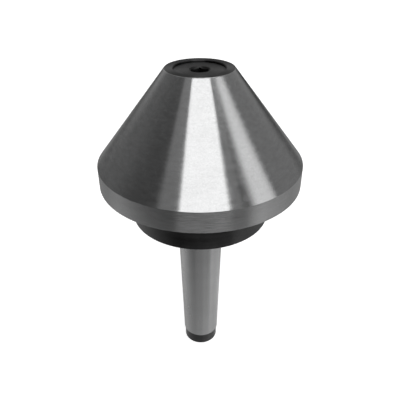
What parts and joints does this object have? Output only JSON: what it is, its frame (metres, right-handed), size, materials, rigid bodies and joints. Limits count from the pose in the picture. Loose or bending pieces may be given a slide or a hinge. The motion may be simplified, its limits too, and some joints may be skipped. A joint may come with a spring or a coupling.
{
  "type": "live center",
  "caption": "Bull-nose live center: a wide work cone that turns on bearings around a stationary arbor with a Morse taper shank.",
  "frame": {"origin": "on the axis, in the gauge plane of the Morse taper", "axes": "+Z along the axis towards the nose; the head turns about Z"},
  "size_m": [0.1, 0.1, 0.1666],
  "materials": {
    "ground_steel": "fine ground; the arbor's flange and tip and the head's end faces are black oxide",
    "black_oxide_steel": "black oxide, satin",
    "plain_steel": "turned",
    "bearing_steel": "polished",
    "cage_brass": "machined",
    "seal_rubber": "matt"
  },
  "bodies": {
    "arbor_body": {"arbor": "ground_steel", "dust_seal": "seal_rubber", "thrust_washer_lower": "bearing_steel", "rear_inner_ring": "bearing_steel", "inner_spacer": "plain_steel", "front_inner_ring": "bearing_steel", "lock_washer": "plain_steel", "lock_nut": "black_oxide_steel"},
    "head_body": {"cone_head": "ground_steel", "nose_plug": "black_oxide_steel", "bearing_retainer": "black_oxide_steel", "thrust_washer_upper": "bearing_steel", "rear_outer_ring": "bearing_steel", "rear_seals": "seal_rubber", "front_outer_ring": "bearing_steel", "front_shields": "plain_steel", "front_circlip": "black_oxide_steel"},
    "thrust_set": {"thrust_balls": "bearing_steel", "thrust_cage": "cage_brass"},
    "rear_set": {"rear_balls": "bearing_steel", "rear_cage": "cage_brass"},
    "front_set": {"front_balls": "bearing_steel", "front_cage": "cage_brass"}
  },
  "joints": [
    {"name": "head_spin", "type": "hinge", "parent": "arbor_body", "child": "head_body", "pos_m": [0, 0, 0], "axis": [0, 0, 1], "continuous": true},
    {"name": "thrust_cage_spin", "type": "hinge", "parent": "arbor_body", "child": "thrust_set", "pos_m": [0, 0, 0], "axis": [0, 0, 1], "continuous": true},
    {"name": "rear_cage_spin", "type": "hinge", "parent": "arbor_body", "child": "rear_set", "pos_m": [0, 0, 0], "axis": [0, 0, 1], "continuous": true},
    {"name": "front_cage_spin", "type": "hinge", "parent": "arbor_body", "child": "front_set", "pos_m": [0, 0, 0], "axis": [0, 0, 1], "continuous": true}
  ],
  "couplings": [
    {"joint": "thrust_cage_spin", "follows": "head_spin", "ratio": 0.5},
    {"joint": "rear_cage_spin", "follows": "head_spin", "ratio": 0.60353},
    {"joint": "front_cage_spin", "follows": "head_spin", "ratio": 0.61837}
  ]
}
